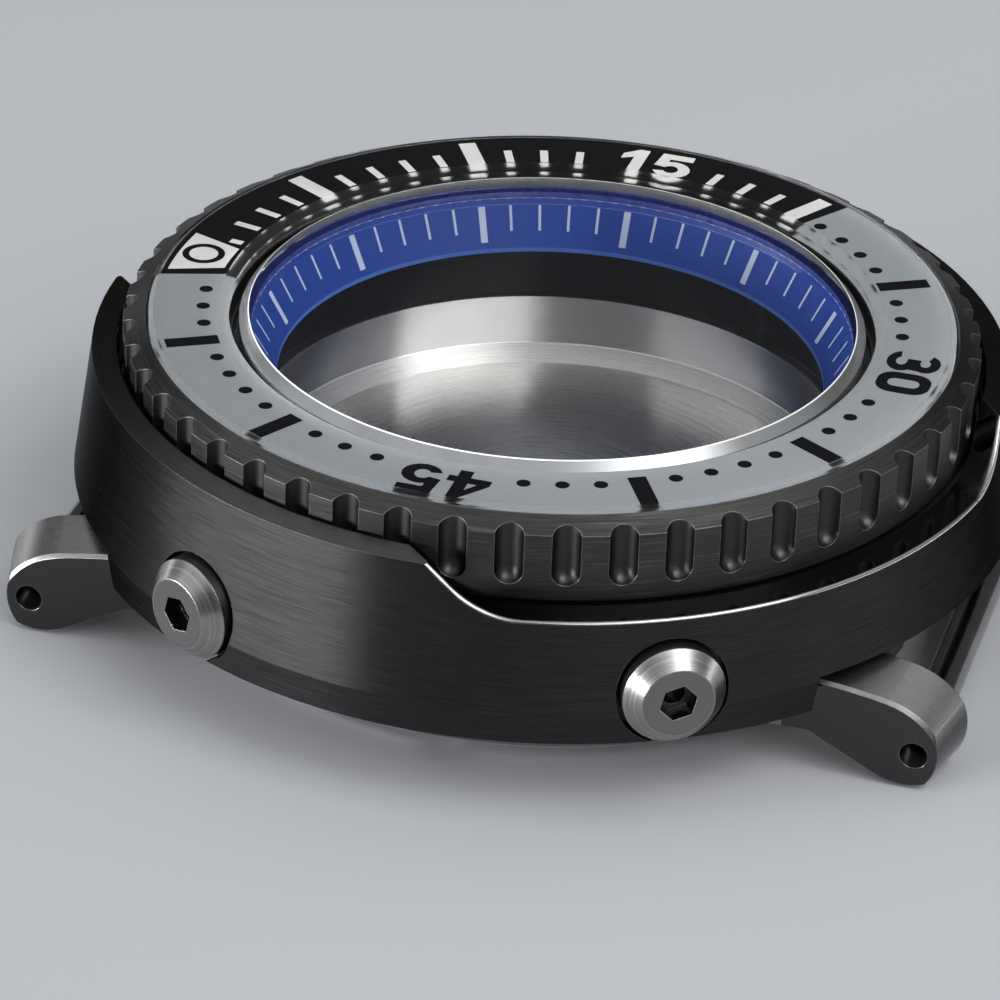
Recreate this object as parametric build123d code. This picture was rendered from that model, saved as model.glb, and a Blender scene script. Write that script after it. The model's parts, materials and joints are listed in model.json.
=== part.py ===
from build123d import *
from math import cos, pi, radians, sin, sqrt, tan
import os

# Empty diver's watch case, in millimetres.
# The origin is on the case axis, on the flat of the case back. +Z points to the crystal,
# +X to 3 o'clock and +Y to 12 o'clock. Angles run anticlockwise from 3 o'clock, seen from above.

FULL_TURN = 360.0

# Clearances and overruns
OVERRUN = 1.0
FIT_GAP = 0.02
THREAD_GAP = 0.05
RUNNING_GAP = 0.07
BEZEL_SIDE_GAP = 0.25
BEZEL_FLOAT = 0.2
WEB_GAP = 0.1
NUDGE = 0.001

# Case back
BACK_COLLAR_STEP = 1.1
BACK_FLANGE_W = 2.0
BACK_FLANGE_T = 1.9
BACK_FLAT_INSET = 3.0
BACK_RING_W = 2.5
BACK_RING_STEP = 0.45
BACK_FLOOR_T = 2.25
BACK_EDGE = 0.3
BACK_COLLAR_WALL = 1.4
BACK_COLLAR_H = 3.6
BACK_CONE_W = 0.9
BACK_CONE_H = 0.7
BACK_NOTCH_COUNT = 6
BACK_NOTCH_W = 2.4
BACK_NOTCH_DEPTH = 0.8
BACK_NOTCH_LENGTH = 1.9
BACK_GASKET_W = 0.9
BACK_GASKET_T = 0.8
BACK_GASKET_ROUND = 0.2

# Middle case
CASE_WALL_H = 7.75
CASE_FOOT_EDGE = 1.0
MOVEMENT_R = 14.5
NECK_WALL = 1.55
NECK_H = 2.65
NECK_EDGE = 0.15
CRYSTAL_SEAT_DEPTH = 1.3

# Lugs: the outline is given for the outer side, and the inner side stands further out and up
STRAP_W = 22.0
LUG_T = 2.9
LUG_ROOT_DEPTH = 6.9
LUG_REACH = 1.9
LUG_FOOT_Z = 0.18
LUG_TOP_Z = 5.02
LUG_INNER_REACH = 0.77
LUG_INNER_RISE = 0.58
LUG_EDGE = 0.15
LUG_HOLE_R = 0.65
LUG_HOLE_INSET = 1.1
LUG_HOLE_Z = 1.79
STRAP_POCKET_DEPTH = 1.65
STRAP_POCKET_TOP_Z = 5.3
STRAP_POCKET_ROUND = 1.5
# Corners and middles of the outline's curves, as shares of the lug's length and height
LUG_TOP_SHARES = [(0, 1), (0.489, 0.938), (0.716, 0.866)]
LUG_CREASE_SHARES = (0.972, 0.572)
LUG_END_SHARES = [(1, 0.376), (0.943, 0.039)]
LUG_HEEL_SHARES = [(0.83, 0), (0.67, 0.074)]
LUG_BELLY_SHARES = [(0.318, 0.407), (0, 0.407)]

# Crystal and chapter ring
CRYSTAL_LEDGE_W = 0.25
CRYSTAL_T = 2.5
CRYSTAL_BEVEL = 0.45
CRYSTAL_FOOT_BEVEL = 0.1
CRYSTAL_GASKET_T = 0.35
CRYSTAL_GASKET_FOOT_W = 0.55
CRYSTAL_GASKET_FOOT_T = 0.3
CRYSTAL_GASKET_DROP = 0.2
CHAPTER_H = 2.33
CHAPTER_W = 1.55
CHAPTER_TOP_W = 0.25
CHAPTER_LIP_H = 0.2

# Bezel
BEZEL_BORDER_W = 1.2
BEZEL_EDGE = 0.2
BEZEL_WEB_T = 0.75
BEZEL_LIP_H = 0.63
BEZEL_CREASE_DROP = 0.53
INSERT_W = 3.75
INSERT_BORE_STEP = 0.15
INSERT_T = 0.7
INSERT_GAP = 0.15
INSERT_OUTER_BEVEL_W = 0.42
INSERT_INNER_BEVEL_W = 0.45
INSERT_BEVEL_H = 0.28
ADHESIVE_T = 0.1
ADHESIVE_MARGIN = 0.1
GROOVE_COUNT = 50
GROOVE_CUTTER_R = 0.66
GROOVE_DEPTH = 0.55
GROOVE_END_ABOVE_BEZEL_FOOT = 0.86
GROOVE_TURN = -0.55
RATCHET_COUNT = 120
RATCHET_INSET = 1.25
RATCHET_W = 1.6
RATCHET_DEPTH = 0.3
RATCHET_SLOPE_SHARE = 0.86
BEZEL_GASKET_WIRE_R = 0.45
BEZEL_GASKET_INSET = 0.05
BEZEL_GASKET_ABOVE_SEAT = 1.5
BEZEL_GASKET_GAP = 0.1

# Click of the bezel: a spring-loaded plunger in a blind hole of the case
CLICK_ANGLE = 90.0
CLICK_HOLE_R = 0.65
CLICK_HOLE_DEPTH = 2.75
CLICK_RUNNING_GAP = 0.05
CLICK_BODY_L = 1.45
CLICK_BODY_PROUD = 0.1
CLICK_TIP_H = 0.3
CLICK_TIP_W = 0.44
CLICK_TIP_L = 0.7
CLICK_TIP_GAP = 0.06
CLICK_SPRING_R = 0.5
CLICK_SPRING_WALL = 0.15

# Shroud
SHROUD_TOP_W = 1.21
SHROUD_WAIST_W = 2.12
SHROUD_FOOT_W = 1.93
SHROUD_FOOT_Z = 3.89
SHROUD_WAIST_Z = 5.5
SHROUD_TOP_Z = 12.05
SHROUD_TOP_RISE = 0.18
SHROUD_BORE_EDGE = 0.06
WINDOW_CENTRES = [45.7, 225.7]
WINDOW_FLOOR_SHARE = 0.584
WINDOW_RIM_Z = 9.9
RAMP_SLOPE = 52.0
RAMP_ROUND = 3.0
RIM_ROUND = 0.18
LUG_NOTCH_GAP = 1.1
LUG_NOTCH_TOP_Z = 5.7

# Shroud screws
SCREW_ANGLES = [30.0, 150.0, 210.0]
SCREW_TURN = 15.0
SCREW_Z = 6.35
SCREW_RECESS_R = 2.6
SCREW_FLOOR_T = 1.15
SCREW_HEAD_R = 2.38
SCREW_HEAD_RIM_T = 0.98
SCREW_HEAD_H = 1.73
SCREW_FACE_R = 1.68
SCREW_SHANK_R = 0.8
SCREW_SHANK_L = 3.4
SCREW_HOLE_GAP = 0.2
SCREW_SOCKET_SIDES = 6
SCREW_SOCKET_AF = 1.55
SCREW_SOCKET_DEPTH = 0.9
SCREW_PILOT_R = 0.54
SCREW_PILOT_DEPTH = 0.7

# Crown and its tube, along the crown's axis
CROWN_ANGLE = -30.0
CROWN_Z = 6.3
CROWN_R = 3.25
CROWN_FLAT_DEPTH = 0.2
CROWN_FLAT_R = 3.6
CROWN_FLOAT = 0.15
CROWN_L = 5.0
CROWN_END_EDGE = 0.6
CROWN_FOOT_EDGE = 0.25
CROWN_SLOT_GAP = 0.4
CROWN_FLUTE_COUNT = 36
CROWN_FLUTE_R = 0.22
CROWN_FLUTE_DEPTH = 0.12
TUBE_PRESS_R = 1.3
TUBE_THREAD_R = 1.6
TUBE_BORE_R = 0.98
TUBE_INNER_STEP = 1.3
CROWN_THREAD_GAP = 0.08
CROWN_END_WALL = 0.7
CROWN_LIFT = 1.05
RETAINER_T = 0.25
RETAINER_R = 1.4
RETAINER_GAP = 0.1
POST_R = 0.9
POST_HEAD_AF = 1.8
POST_HEAD_T = 0.45
POST_HEAD_GAP = 0.05
POST_INSET = 0.8
STEM_THREAD_R = 0.45
STEM_THREAD_L = 2.0
CROWN_SPRING_R = 0.8
CROWN_SPRING_WALL = 0.2
CROWN_SPRING_SPACE = 0.65
CROWN_GASKET_R = 2.5
CROWN_GASKET_T = 0.45
CROWN_GASKET_POCKET = 0.6
CROWN_GASKET_FIT = 0.04

# Spring bars
BAR_R = 0.9
BAR_END_GAP = 0.1
BAR_WALL = 0.19
BAR_LIP_T = 0.15
PIN_TIP_R = 0.56
PIN_BODY_GAP = 0.04
PIN_LIP_GAP = 0.04
PIN_TIP_REACH = 1.45
PIN_BODY_L = 2.4
PIN_TIP_EDGE = 0.15
BAR_SPRING_R = 0.6
BAR_SPRING_WALL = 0.18

# Radii and heights that follow from the sizes above
crystal_r = MOVEMENT_R + CRYSTAL_LEDGE_W
crystal_bore_r = crystal_r + CRYSTAL_GASKET_T
chapter_bore_r = MOVEMENT_R - CHAPTER_W
neck_r = crystal_bore_r + NECK_WALL
insert_bore_r = crystal_bore_r + INSERT_BORE_STEP
insert_r = insert_bore_r + INSERT_W
bezel_bore_r = neck_r + RUNNING_GAP
bezel_lip_r = insert_r + INSERT_GAP
bezel_r = insert_r + BEZEL_BORDER_W
ratchet_inner_r = neck_r + RATCHET_INSET
ratchet_outer_r = ratchet_inner_r + RATCHET_W
shroud_bore_r = bezel_r + BEZEL_SIDE_GAP
shroud_top_r = shroud_bore_r + SHROUD_TOP_W
shroud_waist_r = shroud_bore_r + SHROUD_WAIST_W
shroud_foot_r = shroud_bore_r + SHROUD_FOOT_W
case_r = shroud_bore_r - THREAD_GAP
back_collar_r = MOVEMENT_R + BACK_COLLAR_STEP
back_collar_bore_r = back_collar_r - BACK_COLLAR_WALL
back_flange_r = back_collar_r + BACK_FLANGE_W
back_flat_r = back_flange_r - BACK_FLAT_INSET
back_ring_r = back_flange_r - BACK_RING_W
thread_bore_r = back_collar_r + THREAD_GAP
lug_outer_x = STRAP_W / 2 + LUG_T
lug_root_y = case_r - LUG_ROOT_DEPTH
lug_tip_y = case_r + LUG_REACH
lug_hole_y = lug_tip_y - LUG_HOLE_INSET
strap_pocket_y = case_r - STRAP_POCKET_DEPTH

case_bottom_z = BACK_FLANGE_T
seat_z = case_bottom_z + CASE_WALL_H
collar_top_z = BACK_FLANGE_T + BACK_COLLAR_H
neck_top_z = seat_z + NECK_H
crystal_seat_z = neck_top_z - CRYSTAL_SEAT_DEPTH
crystal_bottom_z = crystal_seat_z + CRYSTAL_GASKET_FOOT_T
bezel_bottom_z = seat_z + BEZEL_FLOAT
web_under_z = neck_top_z + WEB_GAP
insert_floor_z = web_under_z + BEZEL_WEB_T
insert_bottom_z = insert_floor_z + ADHESIVE_T
insert_top_z = insert_bottom_z + INSERT_T
bezel_lip_z = insert_floor_z + BEZEL_LIP_H
crease_z = bezel_lip_z - BEZEL_CREASE_DROP
bezel_gasket_z = seat_z + BEZEL_GASKET_ABOVE_SEAT
bezel_gasket_r = neck_r - BEZEL_GASKET_INSET
gasket_groove_half = BEZEL_GASKET_WIRE_R + FIT_GAP

# Distances from the case axis along the screws and the crown
screw_recess_floor_r = shroud_bore_r + SCREW_FLOOR_T
screw_foot_at = screw_recess_floor_r + FIT_GAP
screw_face_at = screw_foot_at + SCREW_HEAD_H
crown_flat_at = case_r - CROWN_FLAT_DEPTH
crown_end_at = crown_flat_at + CROWN_L
tube_inner_at = MOVEMENT_R + TUBE_INNER_STEP
post_inner_at = tube_inner_at + POST_INSET
crown_hollow_end = crown_end_at - CROWN_END_WALL
post_head_at = crown_hollow_end - CROWN_SPRING_SPACE - POST_HEAD_T
retainer_at = post_head_at - CROWN_LIFT - RETAINER_T
tube_outer_at = retainer_at - RETAINER_GAP

# Along the spring bars
bar_half_l = STRAP_W / 2 - BAR_END_GAP
bar_bore_r = BAR_R - BAR_WALL
pin_body_r = bar_bore_r - PIN_BODY_GAP
pin_shoulder_x = bar_half_l - BAR_LIP_T


def turned(points):
    """Revolve a closed outline of (radius, height) points about the case axis."""
    return revolve(Plane.XZ * make_face(Polyline(*points, close=True)), Axis.Z)


def rod(radius, start, end):
    """A cylinder on the local Z axis from start to end."""
    centred = (Align.CENTER, Align.CENTER, Align.MIN)
    return Pos(0, 0, start) * Cylinder(radius, end - start, align=centred)


def tube(outer_r, inner_r, start, end):
    """A plain sleeve on the local Z axis."""
    return rod(outer_r, start, end) - rod(inner_r, start - OVERRUN, end + OVERRUN)


def facing(angle, height):
    """A plane on the case axis whose normal points outward at an angle, with local Y up."""
    turn = radians(angle)
    return Plane(origin=(0, 0, height), x_dir=(-sin(turn), cos(turn), 0),
                 z_dir=(cos(turn), sin(turn), 0))


def along_x(x, y, z, side):
    """A plane whose normal points along +X or -X."""
    return Plane(origin=(x, y, z), x_dir=(0, 1, 0), z_dir=(side, 0, 0))


def case_back():
    """Screwed back: a plate with a notched ring outside and a threaded collar inside."""
    cone_foot_r = back_collar_bore_r - BACK_CONE_W
    back = turned([
        (0, 0),
        (back_flat_r, 0),
        (back_ring_r, BACK_RING_STEP),
        (back_flange_r - BACK_EDGE, BACK_RING_STEP),
        (back_flange_r, BACK_RING_STEP + BACK_EDGE),
        (back_flange_r, BACK_FLANGE_T),
        (back_collar_r, BACK_FLANGE_T),
        (back_collar_r, collar_top_z),
        (back_collar_bore_r, collar_top_z),
        (back_collar_bore_r, BACK_FLOOR_T + BACK_CONE_H),
        (cone_foot_r, BACK_FLOOR_T),
        (0, BACK_FLOOR_T),
    ])
    notch_l = BACK_NOTCH_LENGTH + OVERRUN
    notch_h = BACK_NOTCH_DEPTH + OVERRUN
    notch = Box(notch_l, BACK_NOTCH_W, notch_h, align=(Align.MIN, Align.CENTER, Align.MAX))
    notch = Pos(0, 0, BACK_RING_STEP + BACK_NOTCH_DEPTH) * notch
    places = PolarLocations(back_flange_r - BACK_NOTCH_LENGTH, BACK_NOTCH_COUNT)
    return back - [place * notch for place in places]


def case_back_gasket():
    """Square-section seal in the corner between the collar and the flange."""
    inner_r = back_collar_r + THREAD_GAP
    low = BACK_FLANGE_T + FIT_GAP
    section = Pos(inner_r + BACK_GASKET_W / 2, low + BACK_GASKET_T / 2)
    section = section * RectangleRounded(BACK_GASKET_W, BACK_GASKET_T, BACK_GASKET_ROUND)
    return revolve(Plane.XZ * section, Axis.Z)


def case_ring():
    """The turned middle case without its lugs."""
    pocket_r = back_collar_r + THREAD_GAP + BACK_GASKET_W + FIT_GAP
    pocket_top_z = BACK_FLANGE_T + BACK_GASKET_T + THREAD_GAP
    thread_end_z = collar_top_z + THREAD_GAP
    groove_r = bezel_gasket_r - gasket_groove_half
    return turned([
        (pocket_r, case_bottom_z),
        (case_r - CASE_FOOT_EDGE, case_bottom_z),
        (case_r, case_bottom_z + CASE_FOOT_EDGE),
        (case_r, seat_z),
        (neck_r, seat_z),
        (neck_r, bezel_gasket_z - gasket_groove_half),
        (groove_r, bezel_gasket_z - gasket_groove_half),
        (groove_r, bezel_gasket_z + gasket_groove_half),
        (neck_r, bezel_gasket_z + gasket_groove_half),
        (neck_r, neck_top_z - NECK_EDGE),
        (neck_r - NECK_EDGE, neck_top_z),
        (crystal_bore_r, neck_top_z),
        (crystal_bore_r, crystal_seat_z),
        (MOVEMENT_R, crystal_seat_z),
        (MOVEMENT_R, thread_end_z),
        (thread_bore_r, thread_end_z),
        (thread_bore_r, pocket_top_z),
        (pocket_r, pocket_top_z),
    ])


def lug_outline(reach, rise):
    """Side outline of a lug as a face in (Y, Z), further out by reach and up by rise."""
    length = lug_tip_y + reach - lug_root_y
    height = LUG_TOP_Z + rise - LUG_FOOT_Z

    def place(share):
        return (lug_root_y + share[0] * length, LUG_FOOT_Z + share[1] * height)

    start = place(LUG_TOP_SHARES[0])
    top = ThreePointArc(start, place(LUG_TOP_SHARES[1]), place(LUG_TOP_SHARES[2]))
    edges = [top, TangentArc(top @ 1, place(LUG_CREASE_SHARES), tangent=top % 1)]
    for middle, end in [LUG_END_SHARES, LUG_HEEL_SHARES]:
        edges.append(ThreePointArc(edges[-1] @ 1, place(middle), place(end)))
    for corner in LUG_BELLY_SHARES:
        edges.append(Line(edges[-1] @ 1, place(corner)))
    edges.append(Line(edges[-1] @ 1, start))
    return make_face(edges)


def lug():
    """The lug at 1 o'clock: ruled between its two side outlines, with a bright outer edge."""
    outer = along_x(lug_outer_x, 0, 0, 1) * lug_outline(0, 0)
    inner = along_x(STRAP_W / 2, 0, 0, 1) * lug_outline(LUG_INNER_REACH, LUG_INNER_RISE)
    body = loft([inner, outer], ruled=True)
    crease_z = LUG_FOOT_Z + LUG_CREASE_SHARES[1] * (LUG_TOP_Z - LUG_FOOT_Z)

    def on_outer_top(edge):
        middle = edge @ 0.5
        low_end = min((edge @ 0).Z, (edge @ 1).Z)
        is_outer = abs(middle.X - lug_outer_x) < NUDGE
        return is_outer and low_end > crease_z - NUDGE and middle.Y > lug_root_y + NUDGE

    body = chamfer(body.edges().filter_by(on_outer_top), LUG_EDGE)
    hole = along_x(0, lug_hole_y, LUG_HOLE_Z, 1) * rod(LUG_HOLE_R, 0, lug_outer_x + OVERRUN)
    return body - hole


def strap_pocket():
    """Space cut out of the case between two lugs, for the end of the strap."""
    far_y = lug_tip_y + OVERRUN
    outline = make_face(Polyline(
        (strap_pocket_y, -OVERRUN),
        (far_y, -OVERRUN),
        (far_y, STRAP_POCKET_TOP_Z),
        (strap_pocket_y, STRAP_POCKET_TOP_Z),
        close=True,
    ))
    inner_top = outline.vertices().group_by(Axis.X)[0].sort_by(Axis.Y)[-1]
    outline = fillet(inner_top, STRAP_POCKET_ROUND)
    return extrude(Plane.YZ * outline, STRAP_W / 2, both=True)


def click_place():
    """The upright axis of the click plunger."""
    return Rot(0, 0, CLICK_ANGLE) * Pos((ratchet_inner_r + ratchet_outer_r) / 2, 0, 0)


def click_hole():
    """Blind hole of the click plunger, square to the bezel seat."""
    return click_place() * rod(CLICK_HOLE_R, seat_z - CLICK_HOLE_DEPTH, seat_z + OVERRUN)


def mid_case():
    """Middle case with its four lugs, screw holes, crown hole and click hole."""
    body = case_ring()
    pocket = strap_pocket()
    body = body - pocket - mirror(pocket, Plane.XZ)
    one = lug()
    pair = [one, mirror(one, Plane.YZ)]
    body = body + pair + [mirror(each, Plane.XZ) for each in pair]
    shank_end = screw_recess_floor_r - SCREW_SHANK_L - THREAD_GAP
    tapped = rod(SCREW_SHANK_R + THREAD_GAP, shank_end, case_r + OVERRUN)
    body = body - [facing(angle, SCREW_Z) * tapped for angle in SCREW_ANGLES]
    crown_side = facing(CROWN_ANGLE, CROWN_Z)
    spot_face = rod(CROWN_FLAT_R, crown_flat_at, case_r + OVERRUN)
    tube_hole = rod(TUBE_PRESS_R + FIT_GAP, 0, case_r + OVERRUN)
    tube_hole = tube_hole - rod(TUBE_PRESS_R + OVERRUN, -OVERRUN, MOVEMENT_R - OVERRUN)
    return body - crown_side * spot_face - crown_side * tube_hole - click_hole()


def crystal():
    """Flat sapphire disc with a polished bevel."""
    top_z = crystal_bottom_z + CRYSTAL_T
    return turned([
        (0, crystal_bottom_z),
        (crystal_r - CRYSTAL_FOOT_BEVEL, crystal_bottom_z),
        (crystal_r, crystal_bottom_z + CRYSTAL_FOOT_BEVEL),
        (crystal_r, top_z - CRYSTAL_BEVEL),
        (crystal_r - CRYSTAL_BEVEL, top_z),
        (0, top_z),
    ])


def crystal_gasket():
    """Seal with an L section: a wall round the crystal and a foot under it."""
    wall_top_z = neck_top_z - CRYSTAL_GASKET_DROP
    foot_bore_r = crystal_r - CRYSTAL_GASKET_FOOT_W
    inner_r = crystal_r + FIT_GAP
    outer_r = crystal_bore_r - FIT_GAP
    return turned([
        (foot_bore_r, crystal_seat_z),
        (outer_r, crystal_seat_z),
        (outer_r, wall_top_z),
        (inner_r, wall_top_z),
        (inner_r, crystal_bottom_z),
        (foot_bore_r, crystal_bottom_z),
    ])


def chapter_ring():
    """Sloping ring between the crystal and the dial seat."""
    outer_r = MOVEMENT_R - THREAD_GAP
    top_z = crystal_seat_z - FIT_GAP
    bottom_z = top_z - CHAPTER_H
    return turned([
        (chapter_bore_r, bottom_z),
        (outer_r, bottom_z),
        (outer_r, top_z),
        (outer_r - CHAPTER_TOP_W, top_z),
        (chapter_bore_r, bottom_z + CHAPTER_LIP_H),
    ])


def grip_groove():
    """Cutter of one grip groove: an upright rod with a round lower end."""
    end_centre_z = bezel_bottom_z + GROOVE_END_ABOVE_BEZEL_FOOT + GROOVE_CUTTER_R
    upright = rod(GROOVE_CUTTER_R, end_centre_z, insert_top_z + OVERRUN)
    return upright + Pos(0, 0, end_centre_z) * Sphere(GROOVE_CUTTER_R)


def ratchet_notch():
    """Cutter of one saw-tooth notch in the underside of the bezel, at 3 o'clock."""
    pitch = 2 * pi * ratchet_outer_r / RATCHET_COUNT
    slope = pitch * RATCHET_SLOPE_SHARE
    outline = make_face(Polyline(
        (0, -RATCHET_DEPTH),
        (0, RATCHET_DEPTH),
        (-slope, 0),
        (-slope, -RATCHET_DEPTH),
        close=True,
    ))
    tooth = extrude(outline, ratchet_outer_r - ratchet_inner_r)
    return facing(0, bezel_bottom_z) * Pos(0, 0, ratchet_inner_r) * tooth


def bezel_ring():
    """Turning bezel: grip grooves outside, ratchet below, a recess for the insert on top."""
    groove_r = bezel_gasket_r + BEZEL_GASKET_WIRE_R + BEZEL_GASKET_GAP
    groove_half = BEZEL_GASKET_WIRE_R + BEZEL_GASKET_GAP
    body = turned([
        (bezel_bore_r, bezel_bottom_z),
        (bezel_r - BEZEL_EDGE, bezel_bottom_z),
        (bezel_r, bezel_bottom_z + BEZEL_EDGE),
        (bezel_r, crease_z),
        (bezel_lip_r, bezel_lip_z),
        (bezel_lip_r, insert_floor_z),
        (insert_bore_r, insert_floor_z),
        (insert_bore_r, web_under_z),
        (bezel_bore_r, web_under_z),
        (bezel_bore_r, bezel_gasket_z + groove_half),
        (groove_r, bezel_gasket_z + groove_half),
        (groove_r, bezel_gasket_z - groove_half),
        (bezel_bore_r, bezel_gasket_z - groove_half),
    ])
    groove = grip_groove()
    groove_axis_r = bezel_r - GROOVE_DEPTH + GROOVE_CUTTER_R
    places = PolarLocations(groove_axis_r, GROOVE_COUNT, CLICK_ANGLE + GROOVE_TURN)
    body = body - [place * groove for place in places]
    notch = ratchet_notch()
    step = FULL_TURN / RATCHET_COUNT
    return body - [Rot(0, 0, CLICK_ANGLE + step * i) * notch for i in range(RATCHET_COUNT)]


def insert_adhesive():
    """Thin ring that holds the insert in the bezel."""
    low = insert_floor_z
    high = insert_bottom_z
    return tube(insert_r - ADHESIVE_MARGIN, insert_bore_r + ADHESIVE_MARGIN, low, high)


def bezel_insert():
    """Flat sapphire ring with bevelled edges."""
    edge_z = insert_top_z - INSERT_BEVEL_H
    return turned([
        (insert_bore_r, insert_bottom_z),
        (insert_r, insert_bottom_z),
        (insert_r, edge_z),
        (insert_r - INSERT_OUTER_BEVEL_W, insert_top_z),
        (insert_bore_r + INSERT_INNER_BEVEL_W, insert_top_z),
        (insert_bore_r, edge_z),
    ])


def bezel_gasket():
    """Round-section ring that seals the bezel and holds it on the neck of the case."""
    return Pos(0, 0, bezel_gasket_z) * Torus(bezel_gasket_r, BEZEL_GASKET_WIRE_R)


def click_plunger():
    """Round plunger with a wedge tip that stands in one notch of the ratchet."""
    top_z = seat_z + CLICK_BODY_PROUD
    body = rod(CLICK_HOLE_R - CLICK_RUNNING_GAP, top_z - CLICK_BODY_L, top_z)
    outline = make_face(Polyline(
        (-CLICK_TIP_GAP, 0),
        (-CLICK_TIP_GAP, CLICK_TIP_H),
        (-CLICK_TIP_GAP - CLICK_TIP_W, 0),
        close=True,
    ))
    wedge = extrude(outline, CLICK_TIP_L / 2, both=True)
    return click_place() * (body + facing(0, top_z) * wedge)


def click_spring():
    """Coil spring under the plunger, drawn as the sleeve that it fills."""
    low = seat_z - CLICK_HOLE_DEPTH
    high = seat_z + CLICK_BODY_PROUD - CLICK_BODY_L
    inner_r = CLICK_SPRING_R - CLICK_SPRING_WALL
    return click_place() * tube(CLICK_SPRING_R, inner_r, low, high)


def window_cutter(centre):
    """Straight cut across one side of the shroud: a flat floor with a ramp at each end."""
    half = WINDOW_FLOOR_SHARE * shroud_bore_r
    slope_angle = radians(RAMP_SLOPE)
    run = RAMP_ROUND * sin(slope_angle)
    rise = RAMP_ROUND * (1 - cos(slope_angle))
    bend = (half + RAMP_ROUND * sin(slope_angle / 2), RAMP_ROUND * (1 - cos(slope_angle / 2)))
    top = SHROUD_TOP_Z + SHROUD_TOP_RISE + OVERRUN - WINDOW_RIM_Z
    top_half = half + run + (top - rise) / tan(slope_angle)
    arc = ThreePointArc((half, 0), bend, (half + run, rise))
    slope = Line(arc @ 1, (top_half, top))
    over = Line(slope @ 1, (0, top))
    down = Line(over @ 1, (0, 0))
    floor = Line(down @ 1, (half, 0))
    side = extrude(make_face([arc, slope, over, down, floor]), shroud_waist_r + OVERRUN)
    return facing(centre, WINDOW_RIM_Z) * (side + mirror(side, Plane.YZ))


def lug_notches():
    """Cutters that raise the shroud's lower edge, straight across each pair of lugs."""
    height = LUG_NOTCH_TOP_Z - SHROUD_FOOT_Z + OVERRUN
    aligned = (Align.CENTER, Align.MIN, Align.MAX)
    width = 2 * (lug_outer_x + LUG_NOTCH_GAP)
    notch = Box(width, shroud_waist_r + OVERRUN, height, align=aligned)
    notch = Pos(0, 0, LUG_NOTCH_TOP_Z) * notch
    return [notch, mirror(notch, Plane.XZ)]


def shroud_wall_r(height):
    """Outer radius of the shroud's tapered wall above its waist."""
    share = (height - SHROUD_WAIST_Z) / (SHROUD_TOP_Z - SHROUD_WAIST_Z)
    return shroud_waist_r + share * (shroud_top_r - shroud_waist_r)


def shroud():
    """Tapered guard ring with two low windows, screw recesses and a slot for the crown."""
    body = turned([
        (shroud_bore_r, SHROUD_FOOT_Z),
        (shroud_foot_r, SHROUD_FOOT_Z),
        (shroud_waist_r, SHROUD_WAIST_Z),
        (shroud_top_r, SHROUD_TOP_Z),
        (shroud_bore_r + SHROUD_BORE_EDGE, SHROUD_TOP_Z + SHROUD_TOP_RISE),
        (shroud_bore_r, SHROUD_TOP_Z + SHROUD_TOP_RISE - SHROUD_BORE_EDGE),
    ])
    for centre in WINDOW_CENTRES:
        body = body - window_cutter(centre)

    def on_window_edge(edge):
        middle = edge @ 0.5
        radius = sqrt(middle.X ** 2 + middle.Y ** 2)
        is_outer = abs(radius - shroud_wall_r(middle.Z)) < NUDGE
        return is_outer and WINDOW_RIM_Z - NUDGE < middle.Z < SHROUD_TOP_Z - NUDGE

    body = fillet(body.edges().filter_by(on_window_edge), RIM_ROUND)
    body = body - lug_notches()
    hole = rod(SCREW_SHANK_R + SCREW_HOLE_GAP, case_r - OVERRUN, shroud_waist_r + OVERRUN)
    recess = rod(SCREW_RECESS_R, screw_recess_floor_r, shroud_waist_r + OVERRUN)
    for angle in SCREW_ANGLES:
        body = body - facing(angle, SCREW_Z) * (hole + recess)
    slot_r = CROWN_R + CROWN_SLOT_GAP
    slot = rod(slot_r, case_r - OVERRUN, shroud_waist_r + OVERRUN)
    slot_l = shroud_waist_r - case_r + 2 * OVERRUN
    below = Box(2 * slot_r, CROWN_Z, slot_l, align=(Align.CENTER, Align.MAX, Align.MIN))
    slot = slot + Pos(0, 0, case_r - OVERRUN) * below
    return body - facing(CROWN_ANGLE, CROWN_Z) * slot


def shroud_screw():
    """One screw on the local Z axis: a conical head with a hexagon socket."""
    body = turned([
        (0, screw_foot_at - SCREW_SHANK_L),
        (SCREW_SHANK_R, screw_foot_at - SCREW_SHANK_L),
        (SCREW_SHANK_R, screw_foot_at),
        (SCREW_HEAD_R, screw_foot_at),
        (SCREW_HEAD_R, screw_foot_at + SCREW_HEAD_RIM_T),
        (SCREW_FACE_R, screw_face_at),
        (0, screw_face_at),
    ])
    socket_r = SCREW_SOCKET_AF / 2 / cos(pi / SCREW_SOCKET_SIDES)
    hexagon = Rot(0, 0, SCREW_TURN) * RegularPolygon(socket_r, SCREW_SOCKET_SIDES)
    socket = extrude(hexagon, SCREW_SOCKET_DEPTH + OVERRUN)
    socket = Pos(0, 0, screw_face_at - SCREW_SOCKET_DEPTH) * socket
    pilot_end = screw_face_at - SCREW_SOCKET_DEPTH - SCREW_PILOT_DEPTH
    pilot = rod(SCREW_PILOT_R, pilot_end, screw_face_at)
    return body - socket - pilot


def shroud_screws():
    """The three screws that hold the shroud to the case."""
    one = shroud_screw()
    return Compound([facing(angle, SCREW_Z) * one for angle in SCREW_ANGLES])


def crown_tube():
    """Tube pressed into the case, with the crown's thread on its outer stretch."""
    body = turned([
        (TUBE_BORE_R, tube_inner_at),
        (TUBE_PRESS_R, tube_inner_at),
        (TUBE_PRESS_R, crown_flat_at),
        (TUBE_THREAD_R, crown_flat_at),
        (TUBE_THREAD_R, tube_outer_at),
        (TUBE_BORE_R, tube_outer_at),
    ])
    return facing(CROWN_ANGLE, CROWN_Z) * body


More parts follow.
